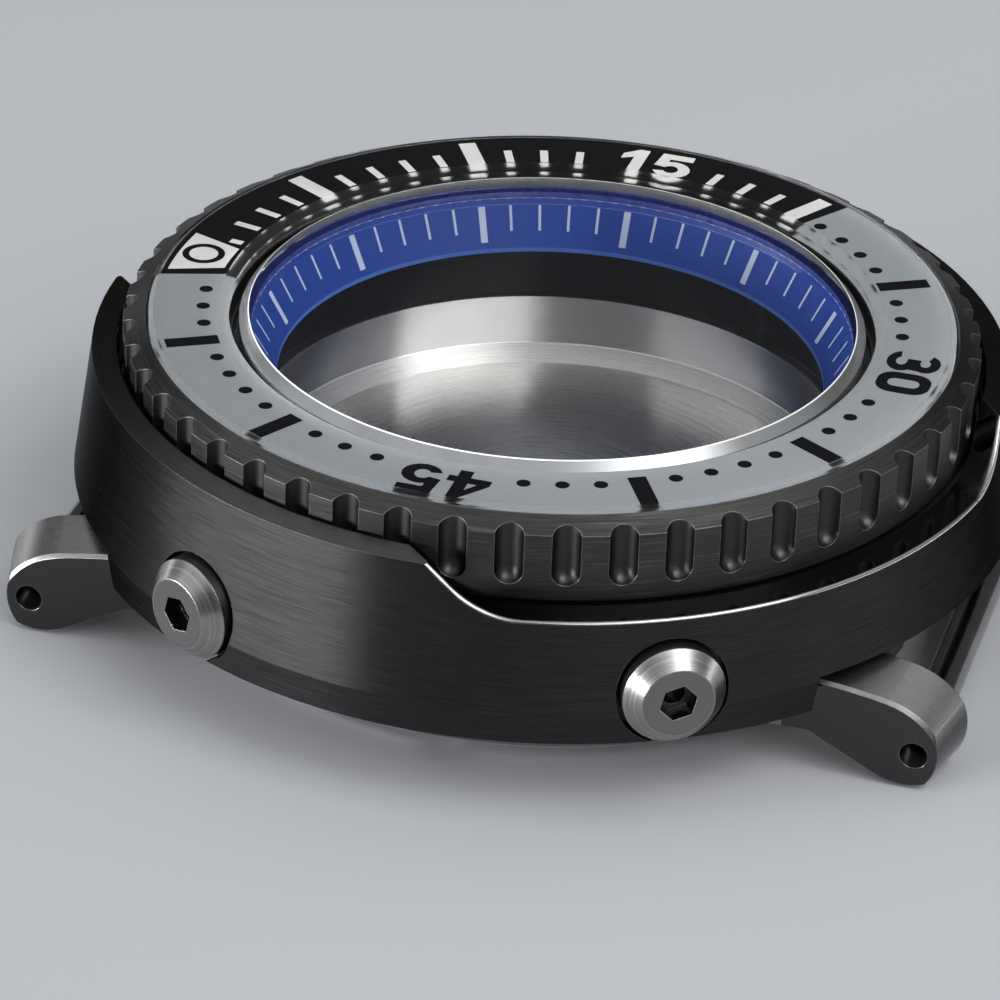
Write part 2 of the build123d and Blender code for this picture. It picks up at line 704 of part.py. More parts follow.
def crown_cap():
    """Screw-down crown: fluted outside, threaded inside, hollow for the post and spring."""
    foot = crown_flat_at + CROWN_FLOAT
    thread_r = TUBE_THREAD_R + CROWN_THREAD_GAP
    body = turned([
        (0, foot),
        (CROWN_R - CROWN_FOOT_EDGE, foot),
        (CROWN_R, foot + CROWN_FOOT_EDGE),
        (CROWN_R, crown_end_at - CROWN_END_EDGE),
        (CROWN_R - CROWN_END_EDGE, crown_end_at),
        (0, crown_end_at),
    ])
    flute = rod(CROWN_FLUTE_R, foot - OVERRUN, crown_end_at + OVERRUN)
    places = PolarLocations(CROWN_R + CROWN_FLUTE_R - CROWN_FLUTE_DEPTH, CROWN_FLUTE_COUNT)
    body = body - [place * flute for place in places]
    thread = rod(thread_r, foot - OVERRUN, retainer_at)
    seat = rod(RETAINER_R + FIT_GAP, foot, retainer_at + RETAINER_T)
    hollow_af = POST_HEAD_AF + 2 * POST_HEAD_GAP
    aligned = (Align.CENTER, Align.CENTER, Align.MAX)
    hollow = Box(hollow_af, hollow_af, crown_hollow_end - foot, align=aligned)
    hollow = Pos(0, 0, crown_hollow_end) * hollow
    gasket_seat = rod(CROWN_GASKET_R + CROWN_GASKET_FIT, foot - OVERRUN, foot + CROWN_GASKET_POCKET)
    return facing(CROWN_ANGLE, CROWN_Z) * (body - thread - seat - hollow - gasket_seat)


def crown_gasket():
    """Flat seal inside the foot of the crown, round the tube."""
    foot = crown_flat_at + CROWN_FLOAT
    high = foot + CROWN_GASKET_POCKET
    seal = tube(CROWN_GASKET_R, TUBE_THREAD_R + CROWN_THREAD_GAP, high - CROWN_GASKET_T, high)
    return facing(CROWN_ANGLE, CROWN_Z) * seal


def crown_retainer():
    """Ring pressed into the crown that keeps the post's head in the hollow."""
    inner_r = POST_R + CROWN_THREAD_GAP
    ring = tube(RETAINER_R, inner_r, retainer_at, retainer_at + RETAINER_T)
    return facing(CROWN_ANGLE, CROWN_Z) * ring


def crown_post():
    """Post with a square head in the crown and a threaded hole for the winding stem."""
    head = Box(POST_HEAD_AF, POST_HEAD_AF, POST_HEAD_T, align=(Align.CENTER, Align.CENTER, Align.MIN))
    body = rod(POST_R, post_inner_at, post_head_at) + Pos(0, 0, post_head_at) * head
    stem_hole = rod(STEM_THREAD_R, post_inner_at - OVERRUN, post_inner_at + STEM_THREAD_L)
    return facing(CROWN_ANGLE, CROWN_Z) * (body - stem_hole)


def crown_spring():
    """Coil spring between the post's head and the crown's end, drawn as its sleeve."""
    inner_r = CROWN_SPRING_R - CROWN_SPRING_WALL
    low = post_head_at + POST_HEAD_T
    coil = tube(CROWN_SPRING_R, inner_r, low, crown_hollow_end - FIT_GAP)
    return facing(CROWN_ANGLE, CROWN_Z) * coil


def bar_axis(end, side):
    """Axis of a spring bar: end is +1 at 12 o'clock and -1 at 6, side is the X direction."""
    return along_x(0, end * lug_hole_y, LUG_HOLE_Z, side)


def bar_sleeve(end):
    """Sleeve of a spring bar, lipped inward at both ends."""
    sleeve = tube(BAR_R, bar_bore_r, -pin_shoulder_x, pin_shoulder_x)
    lip = tube(BAR_R, PIN_TIP_R + PIN_LIP_GAP, pin_shoulder_x, bar_half_l)
    sleeve = sleeve + lip + mirror(lip, Plane.XY)
    return bar_axis(end, 1) * sleeve


def bar_pin(end, side):
    """Sprung pin of a spring bar: a thick body in the sleeve and a tip in the lug's hole."""
    inner = pin_shoulder_x - PIN_BODY_L
    tip = bar_half_l + PIN_TIP_REACH
    body = turned([
        (0, inner),
        (pin_body_r, inner),
        (pin_body_r, pin_shoulder_x - FIT_GAP),
        (PIN_TIP_R, pin_shoulder_x - FIT_GAP),
        (PIN_TIP_R, tip - PIN_TIP_EDGE),
        (PIN_TIP_R - PIN_TIP_EDGE, tip),
        (0, tip),
    ])
    return bar_axis(end, side) * body


def bar_spring(end):
    """Coil spring between the two pins of a bar, drawn as its sleeve."""
    half = pin_shoulder_x - PIN_BODY_L - FIT_GAP
    return bar_axis(end, 1) * tube(BAR_SPRING_R, BAR_SPRING_R - BAR_SPRING_WALL, -half, half)


nodes = {
    "mid_case": mid_case(),
    "case_back": case_back(),
    "case_back_gasket": case_back_gasket(),
    "crystal": crystal(),
    "crystal_gasket": crystal_gasket(),
    "chapter_ring": chapter_ring(),
    "bezel_ring": bezel_ring(),
    "insert_adhesive": insert_adhesive(),
    "bezel_insert": bezel_insert(),
    "bezel_gasket": bezel_gasket(),
    "click_plunger": click_plunger(),
    "click_spring": click_spring(),
    "shroud": shroud(),
    "shroud_screws": shroud_screws(),
    "crown_tube": crown_tube(),
    "crown_cap": crown_cap(),
    "crown_gasket": crown_gasket(),
    "crown_retainer": crown_retainer(),
    "crown_post": crown_post(),
    "crown_spring": crown_spring(),
}
for end, hour in [(1, "12"), (-1, "6")]:
    nodes["spring_bar_" + hour + "_sleeve"] = bar_sleeve(end)
    nodes["spring_bar_" + hour + "_pin_left"] = bar_pin(end, -1)
    nodes["spring_bar_" + hour + "_pin_right"] = bar_pin(end, 1)
    nodes["spring_bar_" + hour + "_spring"] = bar_spring(end)

os.makedirs("parts", exist_ok=True)
for name, shape in nodes.items():
    export_step(shape, "parts/" + name + ".step")
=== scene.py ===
import json
from math import cos, pi, radians, sin, sqrt

import bmesh
import bpy
from mathutils import Matrix, Vector


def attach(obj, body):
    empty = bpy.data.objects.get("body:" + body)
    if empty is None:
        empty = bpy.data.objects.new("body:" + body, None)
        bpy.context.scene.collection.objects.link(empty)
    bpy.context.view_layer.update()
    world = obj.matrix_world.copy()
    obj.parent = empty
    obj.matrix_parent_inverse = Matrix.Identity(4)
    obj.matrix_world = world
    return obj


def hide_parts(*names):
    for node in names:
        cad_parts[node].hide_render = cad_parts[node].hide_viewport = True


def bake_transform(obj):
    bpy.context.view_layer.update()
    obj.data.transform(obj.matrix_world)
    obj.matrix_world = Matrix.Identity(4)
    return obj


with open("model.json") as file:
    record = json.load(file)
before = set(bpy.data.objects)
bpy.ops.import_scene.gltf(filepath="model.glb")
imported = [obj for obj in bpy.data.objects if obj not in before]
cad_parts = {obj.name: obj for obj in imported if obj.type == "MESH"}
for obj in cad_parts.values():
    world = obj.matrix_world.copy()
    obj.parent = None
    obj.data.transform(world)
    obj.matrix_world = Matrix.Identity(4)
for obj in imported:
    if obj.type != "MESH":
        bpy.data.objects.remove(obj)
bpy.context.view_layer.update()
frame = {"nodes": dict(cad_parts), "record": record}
scene = bpy.context.scene
scene.view_settings.view_transform = "Standard"
nodes = frame["nodes"]
MM = 0.001

# Camera, matched to the photograph: angles, and millimetres from the point it looks at
CAM_AZ, CAM_EL, CAM_ROLL = radians(195.04), radians(29.59), radians(2.10)
CAM_DISTANCE, CAM_RIGHT, CAM_UP = 245.6, -2.49, -8.82
CAM_AIM_Z = 13.75
CAM_LENS, CAM_SENSOR = 187.8, 36
CAM_CLIP = (0.01, 10)


def add_camera():
    back = Vector((cos(CAM_EL) * cos(CAM_AZ), cos(CAM_EL) * sin(CAM_AZ), sin(CAM_EL)))
    right = Vector((0, 0, 1)).cross(back).normalized()
    up = back.cross(right)
    right_r = cos(CAM_ROLL) * right + sin(CAM_ROLL) * up
    up_r = -sin(CAM_ROLL) * right + cos(CAM_ROLL) * up
    place = Vector((0, 0, CAM_AIM_Z)) + CAM_RIGHT * right_r + CAM_UP * up_r
    place = (place + CAM_DISTANCE * back) * MM

    data = bpy.data.cameras.new("camera")
    data.sensor_width = CAM_SENSOR
    data.lens = CAM_LENS
    data.clip_start, data.clip_end = CAM_CLIP
    camera = bpy.data.objects.new("camera", data)
    scene.collection.objects.link(camera)
    turn = Matrix((right_r, up_r, back)).transposed().to_4x4()
    camera.matrix_world = Matrix.Translation(place) @ turn
    scene.camera = camera


# Node trees: small helpers, so that each finish below reads as a list of its layers
NOISE_MIDDLE = (0.3, 0.7)
# Edge mask for wear that is also a painted edge highlight
WEAR_HIGHLIGHT_COSINE, WEAR_HIGHLIGHT_PATCHES, WEAR_HIGHLIGHT_SCALE = (0.86, 0.98), (0.35, 1.0), 1500.0
WEAR_HIGHLIGHT_SAMPLES, BUMP_SAMPLES = 6, 4
QUARTER_TURN = 0.25


class Layers:
    """A node tree with short calls; values may be numbers, colours or sockets."""

    def __init__(self, tree, source="Object"):
        self.tree = tree
        coords = self.node("ShaderNodeTexCoord")
        self.point = coords.outputs[source]
        self.x, self.y, self.z = self.parts(self.point)
        self.nx, _, self.nz = self.parts(coords.outputs["Normal"])
        squares = self.math("ADD", self.times(self.x, self.x), self.times(self.y, self.y))
        self.r = self.math("SQRT", squares)

    def node(self, kind, values=None, **settings):
        """A new node; values go to its inputs and settings to its own properties."""
        made = self.tree.nodes.new(kind)
        for key, setting in settings.items():
            setattr(made, key, setting)
        for key, value in (values or {}).items():
            self.put(made.inputs[key], value)
        return made

    def put(self, socket, value):
        if isinstance(value, bpy.types.NodeSocket):
            self.tree.links.new(value, socket)
        elif isinstance(value, tuple) and socket.type == "RGBA" and len(value) == 3:
            socket.default_value = (*value, 1)
        else:
            socket.default_value = value

    def math(self, operation, a, b=0.0, clamp=False):
        made = self.node("ShaderNodeMath", {0: a, 1: b}, operation=operation, use_clamp=clamp)
        return made.outputs[0]

    def times(self, a, b):
        return self.math("MULTIPLY", a, b)

    def parts(self, vector):
        made = self.node("ShaderNodeSeparateXYZ", {0: vector})
        return made.outputs[0], made.outputs[1], made.outputs[2]

    def vector(self, x, y, z):
        return self.node("ShaderNodeCombineXYZ", {0: x, 1: y, 2: z}).outputs[0]

    def mix(self, share, a, b):
        made = self.node("ShaderNodeMix", data_type="RGBA")
        self.put(made.inputs[0], share)
        self.put(made.inputs[6], a)
        self.put(made.inputs[7], b)
        return made.outputs[2]

    def blend(self, share, a, b):
        made = self.node("ShaderNodeMix", data_type="FLOAT")
        self.put(made.inputs[0], share)
        self.put(made.inputs[2], a)
        self.put(made.inputs[3], b)
        return made.outputs[0]

    def step(self, value, low, high):
        """0 below low, 1 above high and smooth between them."""
        made = self.node("ShaderNodeMapRange", {"Value": value, "From Min": low, "From Max": high},
                         interpolation_type="SMOOTHSTEP")
        return made.outputs[0]

    def below(self, value, limits):
        """1 below the limits, 0 above them and smooth between: the inverse of a step."""
        return self.inverse(self.step(value, *limits))

    def both(self, a, b):
        return self.math("MULTIPLY", a, b, clamp=True)

    def either(self, a, b):
        return self.math("MAXIMUM", a, b, clamp=True)

    def inverse(self, a):
        return self.math("SUBTRACT", 1.0, a)

    def noise(self, vector, scale, detail, rough=0.5):
        made = self.node("ShaderNodeTexNoise", {"Vector": vector, "Scale": scale,
                                                "Detail": detail, "Roughness": rough})
        return made.outputs[0]

    def lines(self, x, y, z):
        """Noise for brushed lines, from coordinates that are already stretched."""
        return self.noise(self.vector(x, y, z), scale=1.0, detail=3.0, rough=0.6)

    def scale(self, value, low, high):
        """Spread the middle of a noise between two numbers."""
        first, last = NOISE_MIDDLE
        made = self.node("ShaderNodeMapRange", {"Value": value, "From Min": first,
                                                "From Max": last, "To Min": low, "To Max": high})
        return made.outputs[0]

    def spread(self, value, a, b, most=1.0):
        """Two colours mixed by a noise; most is the largest share of the second one."""
        return self.mix(self.scale(value, 0.0, most), a, b)

    def streaks_round(self, along, across):
        """Fine lines that run round the case axis, on flat, sloping and upright faces."""
        unit_x = self.times(self.math("DIVIDE", self.x, self.r), along)
        unit_y = self.times(self.math("DIVIDE", self.y, self.r), along)
        rise = self.times(self.math("ADD", self.z, self.r), across)
        return self.lines(unit_x, unit_y, rise)

    def streaks_along(self, stretch_x, stretch_y, stretch_z):
        """Fine lines along the axis with the smallest stretch."""
        return self.lines(self.times(self.x, stretch_x), self.times(self.y, stretch_y),
                          self.times(self.z, stretch_z))

    def axis_radius(self, angles, height):
        """Distance from the nearest of some level axes that cross the case axis."""
        up = self.math("SUBTRACT", self.z, height)
        nearest = 1.0
        for angle in angles:
            across = self.math("SUBTRACT", self.times(self.y, cos(angle)),
                               self.times(self.x, sin(angle)))
            square = self.math("ADD", self.times(across, across), self.times(up, up))
            nearest = self.math("MINIMUM", nearest, self.math("SQRT", square))
        return nearest

    def toward(self, angle):
        """How far a point lies in one level direction."""
        return self.math("ADD", self.times(self.x, cos(angle)), self.times(self.y, sin(angle)))

    def brushed(self, amount):
        """Reflections drawn out across lines that run round the case axis."""
        tangent = self.node("ShaderNodeTangent", direction_type="RADIAL", axis="Z").outputs[0]
        return {"Anisotropic": amount, "Anisotropic Rotation": QUARTER_TURN, "Tangent": tangent}

    def wear_and_edge_highlight(self, radius, share):
        """Edges where the finish is rubbed off and a painted edge highlight lies, broken up by a
        noise.
        """
        soft = self.node("ShaderNodeBevel", {"Radius": radius}, samples=WEAR_HIGHLIGHT_SAMPLES)
        plain_normal = self.node("ShaderNodeNewGeometry").outputs["Normal"]
        cosine = self.node("ShaderNodeVectorMath", {0: soft.outputs[0], 1: plain_normal},
                           operation="DOT_PRODUCT").outputs["Value"]
        patches = self.scale(self.noise(self.point, WEAR_HIGHLIGHT_SCALE, detail=3.0), *WEAR_HIGHLIGHT_PATCHES)
        return self.both(self.both(self.below(cosine, WEAR_HIGHLIGHT_COSINE), patches), share)

    def bump(self, height, depth, bevel=0.0):
        """Fine relief, over edges that are softened by the bevel."""
        values = {"Height": height, "Distance": depth, "Strength": 1.0}
        if bevel:
            soft = self.node("ShaderNodeBevel", {"Radius": bevel}, samples=BUMP_SAMPLES)
            values["Normal"] = soft.outputs[0]
        return self.node("ShaderNodeBump", values).outputs[0]


def material(name, build):
    """A Principled material; build gets its layers and returns the shader's inputs."""
    made = bpy.data.materials.new(name)
    made.use_nodes = True
    layers = Layers(made.node_tree)
    shader = made.node_tree.nodes["Principled BSDF"]
    for key, value in build(layers).items():
        layers.put(shader.inputs[key], value)
    return made


def grey(level, warm=0.0):
    """A grey colour; warm shifts it a little towards red, or towards blue when below zero."""
    return (level * (1 + warm), level, level * (1 - warm))


METAL, NO_METAL = 1.0, 0.0


def surface(color, rough, metal, relief=None, shine=None, **more):
    """Values for the shader's own inputs."""
    values = {"Base Color": color, "Roughness": rough, "Metallic": metal, **more}
    if relief is not None:
        values["Normal"] = relief
    if shine is not None:
        values["Specular IOR Level"] = shine
    return values


# How far the softened edges reach, in metres
EDGE = 0.00006
# The height of a face without relief, and the part of a noise that counts as a scratch
NO_RELIEF, SCRATCHES = 0.5, (0.62, 0.70)
# Between which heights of a face's normal a finish fades: upright faces have 0, level ones 1
FLAT, FACE_UP, NEARLY_LEVEL = (0.5, 0.7), (0.8, 0.95), (0.90, 0.97)
FACE_RISING, FACE_SLOPED = (0.3, 0.5), (0.25, 0.40)
LUG_TOP_SLOPE, LUG_END_SLOPE, GLASS_LEVEL = (0.2, 0.4), (0.15, 0.45), (0.93, 0.98)
# The same along x, for faces that are turned to the side
SIDE_ON = (0.9, 0.97)
# Axes of the screws and of the crown, from the case axis outwards, and their height
SCREW_AXES, SCREW_Z = (radians(30), radians(150)), 0.00635
CROWN_ANGLE, CROWN_Z = radians(-30), 0.0063
# Radii and heights between which one finish fades into the next, in metres
SHROUD_BORE = (0.0205, 0.0206)
SHROUD_TOP = (0.0115, 0.0118)
SHROUD_LEDGE_END = (0.0119, 0.01195)
WINDOW_RIM_R, WINDOW_RIM_Z = (0.0215, 0.02155), (0.0096, 0.0097)
GROOVE_FLOOR, GROOVE_WALL = (0.01925, 0.01930), (0.02008, 0.02014)
LUG_R, LUG_X, LUG_Z = (0.02046, 0.0205), (0.01098, 0.01100), (0.0058, 0.0059)
CASE_BORE = (0.01462, 0.01466)
COLLAR_R, COLLAR_Z = (0.0141, 0.01415), (0.0026, 0.0027)
SCREW_FACE, SCREW_SOCKET = (0.00160, 0.00166), (0.00095, 0.00100)
SCREW_SOCKET_R = (0.02329, 0.02332)
SEAL_TOP = (0.0113, 0.0115)
CHAPTER_LIP = (0.00884, 0.00888)
BEVEL_LINE_R, BEVEL_LINE_Z = (0.014345, 0.014365), (0.0136, 0.0137)


def shroud_steel(n):
    """Dark, brushed round the case, with its top face painted lighter as painted light and bright
    rims at the windows.
    """
    lines = n.streaks_round(along=9.0, across=26000.0)
    cloud = n.noise(n.point, scale=220.0, detail=3.0)
    flank = n.spread(lines, grey(0.027, -0.02), grey(0.050, -0.02))
    flank = n.spread(cloud, flank, grey(0.028, -0.02), most=0.35)
    # The top face is painted lighter than the flank: painted light on the face that looks up
    top = n.spread(lines, grey(0.085, 0.03), grey(0.11, 0.03))
    is_top = n.both(n.step(n.nz, *FACE_UP), n.step(n.z, *SHROUD_TOP))
    color = n.mix(is_top, flank, top)
    ledge = n.both(n.step(n.nz, *FACE_RISING), n.below(n.z, SHROUD_LEDGE_END))
    dark = n.either(n.below(n.r, SHROUD_BORE), ledge)
    color = n.mix(dark, color, grey(0.10))
    rim = n.both(n.both(n.step(n.nz, *FACE_SLOPED), n.below(n.nz, NEARLY_LEVEL)),
                 n.both(n.step(n.r, *WINDOW_RIM_R), n.step(n.z, *WINDOW_RIM_Z)))
    color = n.mix(rim, color, grey(0.34, 0.01))
    # Edges painted lighter: wear and a painted edge highlight
    color = n.mix(n.wear_and_edge_highlight(radius=0.00005, share=0.6), color, grey(0.24, 0.01))
    rough = n.blend(dark, n.scale(lines, 0.29, 0.35), 0.09)
    rough = n.blend(rim, rough, 0.16)
    fine = n.blend(n.either(dark, rim), lines, NO_RELIEF)
    tint = {"Specular Tint": (*grey(0.35), 1)}
    relief = n.bump(fine, depth=0.0000007, bevel=EDGE)
    return surface(color, rough, METAL, relief, **tint, **n.brushed(0.85))


def bezel_steel(n):
    """Turned and a little scratched, with blasted grooves, and edges painted lighter as wear and
    as a painted highlight.
    """
    lines = n.streaks_round(along=7.0, across=24000.0)
    grain = n.noise(n.point, scale=26000.0, detail=2.0)
    scratch = n.step(n.streaks_round(along=3.0, across=9000.0), *SCRATCHES)
    wall = n.spread(lines, grey(0.044, 0.01), grey(0.084, 0.02))
    wall = n.mix(n.both(scratch, 0.35), wall, grey(0.22, 0.02))
    groove = n.both(n.below(n.r, GROOVE_WALL), n.below(n.nz, FLAT))
    groove = n.both(groove, n.step(n.r, *GROOVE_FLOOR))
    color = n.mix(groove, wall, n.mix(grain, grey(0.040), grey(0.065)))
    # Edges painted lighter: wear and a painted edge highlight
    color = n.mix(n.wear_and_edge_highlight(radius=0.00009, share=0.8), color, grey(0.30, 0.01))
    rough = n.blend(groove, n.scale(lines, 0.30, 0.42), 0.42)
    height = n.blend(groove, lines, grain)
    relief = n.bump(height, depth=0.0000012, bevel=EDGE)
    return surface(color, rough, METAL, relief, **n.brushed(0.6))


def case_steel(n):
    """Lugs brushed along their tops and polished at sides and ends, their tops painted lighter and
    their sides and ends painted darker as painted light and shade; a polished bore painted dark as
    painted shade.
    """
    lines = n.streaks_along(26000.0, 1500.0, 9000.0)
    round_lines = n.streaks_round(along=9.0, across=26000.0)
    cloud = n.noise(n.point, scale=300.0, detail=3.0)
    on_top = n.both(n.step(n.math("ABSOLUTE", n.x), *LUG_X), n.step(n.nz, *LUG_TOP_SLOPE))
    is_lug = n.either(n.step(n.r, *LUG_R), n.both(on_top, n.below(n.z, LUG_Z)))
    is_side = n.both(n.step(n.math("ABSOLUTE", n.nx), *SIDE_ON), is_lug)
    # Lug faces by how they are turned: tops painted lighter as painted light, ends and sides
    # painted darker as painted shade
    top = n.spread(lines, grey(0.23, 0.01), grey(0.32, 0.01))
    top = n.spread(cloud, top, grey(0.18, 0.01), most=0.3)
    end = n.both(is_lug, n.below(n.nz, LUG_END_SLOPE))
    color = n.mix(end, top, grey(0.11))
    color = n.mix(is_side, color, grey(0.07))
    ring = n.spread(round_lines, grey(0.16), grey(0.22))
    color = n.mix(n.inverse(is_lug), color, ring)
    # Painted shade: the bore inside the case is painted near black
    bore = n.both(n.below(n.r, CASE_BORE), n.below(n.nz, FLAT))
    color = n.mix(bore, color, grey(0.012))
    # Lug edges painted lighter: wear and a painted edge highlight
    color = n.mix(n.both(n.wear_and_edge_highlight(radius=0.00008, share=0.7), is_lug), color, grey(0.42, 0.01))
    polished = n.either(is_side, n.either(end, bore))
    rough = n.blend(polished, n.scale(lines, 0.28, 0.40), 0.10)
    height = n.blend(is_lug, round_lines, lines)
    height = n.blend(polished, height, NO_RELIEF)
    relief = n.bump(height, depth=0.0000014, bevel=EDGE)
    return surface(color, rough, METAL, relief)


def back_steel(n):
    """Bright turned steel, with its floor painted darker as painted shade and a polished collar.
    """
    lines = n.streaks_round(along=1.2, across=22000.0)
    cloud = n.noise(n.point, scale=160.0, detail=3.0)
    color = n.spread(lines, grey(0.70), grey(0.78))
    color = n.spread(cloud, color, grey(0.60, 0.01), most=0.4)
    # Level faces painted darker: painted shade on the floor
    color = n.mix(n.both(n.step(n.nz, *FLAT), 0.75), color, grey(0.45, 0.01))
    collar = n.both(n.step(n.r, *COLLAR_R), n.step(n.z, *COLLAR_Z))
    color = n.mix(collar, color, grey(0.72))
    rough = n.blend(collar, n.scale(lines, 0.25, 0.31), 0.17)
    relief = n.bump(lines, depth=0.0000007, bevel=EDGE)
    return surface(color, rough, METAL, relief, **n.brushed(0.75))


def screw_steel(n):
    """Turned round each screw's own axis, with edges painted lighter as wear and as a painted
    highlight, and painted shade in the socket.
    """
    radius = n.axis_radius(SCREW_AXES, SCREW_Z)
    lines = n.lines(n.times(radius, 17000.0), n.times(n.z, 150.0), n.times(n.x, 150.0))
    cloud = n.noise(n.point, scale=500.0, detail=3.0)
    color = n.spread(lines, grey(0.25, 0.01), grey(0.39, 0.02))
    color = n.spread(cloud, color, grey(0.20, 0.01), most=0.35)
    color = n.mix(n.both(n.below(radius, SCREW_FACE), 0.85), color, grey(0.18, 0.01))
    # Edges painted lighter: wear and a painted edge highlight
    color = n.mix(n.wear_and_edge_highlight(radius=0.00006, share=0.9), color, grey(0.62, 0.01))
    # Painted shade in the hex socket
    socket = n.both(n.below(n.r, SCREW_SOCKET_R), n.below(radius, SCREW_SOCKET))
    color = n.mix(socket, color, grey(0.10))
    relief = n.bump(lines, depth=0.0000030, bevel=EDGE)
    return surface(color, n.scale(lines, 0.22, 0.33), METAL, relief)


def crown_steel(n):
    """Turned round the crown's axis."""
    radius = n.axis_radius([CROWN_ANGLE], CROWN_Z)
    out = n.toward(CROWN_ANGLE)
    lines = n.lines(n.times(radius, 14000.0), n.times(out, 9000.0), n.times(n.z, 120.0))
    color = n.spread(lines, grey(0.12), grey(0.19))
    # Edges painted lighter: wear and a painted edge highlight
    color = n.mix(n.wear_and_edge_highlight(radius=0.00006, share=0.7), color, grey(0.40, 0.01))
    relief = n.bump(lines, depth=0.0000012, bevel=EDGE)
    return surface(color, n.scale(lines, 0.28, 0.36), METAL, relief)


def spring_steel(n):
    """Drawn wire and polished pins, with lines along the strap bars."""
    lines = n.streaks_along(22000.0, 900.0, 900.0)
    cloud = n.noise(n.point, scale=700.0, detail=2.0)
    color = n.spread(cloud, grey(0.26), grey(0.34))
    relief = n.bump(lines, depth=0.0000008, bevel=EDGE)
    return surface(color, n.scale(lines, 0.12, 0.22), METAL, relief)


def rubber(n):
    """Black seals."""
    grain = n.noise(n.point, scale=9000.0, detail=3.0)
    color = n.mix(grain, grey(0.008), grey(0.018))
    relief = n.bump(grain, depth=0.000002)
    return surface(color, n.scale(grain, 0.45, 0.6), NO_METAL, relief)


def adhesive(n):
    """A dull black film."""
    grain = n.noise(n.point, scale=4000.0, detail=3.0)
    return surface(n.mix(grain, grey(0.010), grey(0.02)), n.scale(grain, 0.6, 0.8), NO_METAL)


def clear_seal(n):
    """Clear plastic over the blue ring, painted dark at its top as painted shade where it meets
    the case.
    """
    cloud = n.noise(n.point, scale=900.0, detail=2.0)
    color = n.mix(cloud, (0.018, 0.036, 0.19), (0.024, 0.044, 0.23))
    # Painted shade on the seal's top, where it meets the case
    color = n.mix(n.step(n.z, *SEAL_TOP), color, grey(0.02))
    return surface(color, n.scale(cloud, 0.22, 0.34), NO_METAL)


def chapter_paint(n):
    """Blue paint, with a painted highlight in lighter blue on the ring's lower lip."""
    grain = n.noise(n.point, scale=14000.0, detail=2.0)
    color = n.mix(grain, (0.005, 0.030, 0.19), (0.011, 0.046, 0.265))
    # The lower lip is painted lighter blue: a painted highlight where it catches the light
    color = n.mix(n.below(n.z, CHAPTER_LIP), color, (0.05, 0.13, 0.42))
    relief = n.bump(grain, depth=0.000001)
    return surface(color, n.scale(grain, 0.34, 0.46), NO_METAL, relief, shine=0.12)


def print_paint(low, high):
    """Matt print between two colours."""
    def build(n):
        grain = n.noise(n.point, scale=12000.0, detail=2.0)
        color = n.mix(grain, low, high)
        return surface(color, n.scale(grain, 0.40, 0.55), NO_METAL, shine=0.0)
    return build


def floor_paint(n):
    """A pale, matt floor with a faint unevenness."""
    cloud = n.noise(n.point, scale=4.0, detail=2.0)
    grain = n.noise(n.point, scale=900.0, detail=2.0)
    color = n.mix(cloud, (0.42, 0.43, 0.45), (0.45, 0.46, 0.48))
    return surface(color, n.scale(grain, 0.62, 0.68), NO_METAL, shine=0.1)


def crystal_edge(n):
    """The ground edge of the crystal, a silvery band that is partly painted reflection, with a
    white line at the bevel's top that is a painted highlight.
    """
    cloud = n.streaks_round(along=1.6, across=300.0)
    band = n.spread(cloud, grey(0.22, -0.02), grey(0.40, -0.02))
    # A white line at the top of the bevel: painted highlight
    line = n.both(n.below(n.r, BEVEL_LINE_R), n.step(n.z, *BEVEL_LINE_Z))
    color = n.mix(line, band, grey(0.90))
    return surface(color, n.scale(cloud, 0.18, 0.28), n.blend(line, 0.75, NO_METAL))


GLASS_IOR, SMUDGE_ROUGH = 1.76, 0.012


def glass(name, tint, coating, edge_rough):
    """Clear glass that lets light through to what lies under it, with a coating's tint."""
    made = bpy.data.materials.new(name)
    made.use_nodes = True
    n = Layers(made.node_tree)
    shader = made.node_tree.nodes["Principled BSDF"]
    smudge = n.noise(n.point, scale=260.0, detail=3.0)
    n.put(shader.inputs["Base Color"], n.mix(smudge, tint, grey(0.99)))
    sloped = n.below(n.math("ABSOLUTE", n.nz), GLASS_LEVEL)
    rough = n.blend(sloped, n.scale(smudge, 0.0, SMUDGE_ROUGH), edge_rough)
    n.put(shader.inputs["Roughness"], rough)
    shader.inputs["Transmission Weight"].default_value = 1.0
    shader.inputs["IOR"].default_value = GLASS_IOR
    n.put(shader.inputs["Specular Tint"], coating)
    clear = n.node("ShaderNodeBsdfTransparent")
    path = n.node("ShaderNodeLightPath")
    mixed = n.node("ShaderNodeMixShader", {0: path.outputs["Is Shadow Ray"],
                                           1: shader.outputs[0], 2: clear.outputs[0]})
    n.put(made.node_tree.nodes["Material Output"].inputs["Surface"], mixed.outputs[0])
    return made


# Meshes, drawn in millimetres; edges below these angles are shaded smooth
INSERT_SMOOTH, EDGE_SMOOTH, COIL_SMOOTH = radians(12), radians(30), radians(60)


def mesh_object(name, bm, mat, smooth_angle=None):
    """An object with one material; edges below the angle are shaded smooth."""
    bmesh.ops.recalc_face_normals(bm, faces=bm.faces[:])
    data = bpy.data.meshes.new(name)
    bm.to_mesh(data)
    bm.free()
    data.materials.append(mat)
    if smooth_angle is not None:
        data.shade_smooth()
        data.set_sharp_from_angle(angle=smooth_angle)
    made = bpy.data.objects.new(name, data)
    scene.collection.objects.link(made)
    return made


def join_loops(bm, near, far):
    """Faces between two closed loops that have the same number of points."""
    for k in range(len(near)):
        m = (k + 1) % len(near)
        bm.faces.new((near[k], near[m], far[m], far[k]))


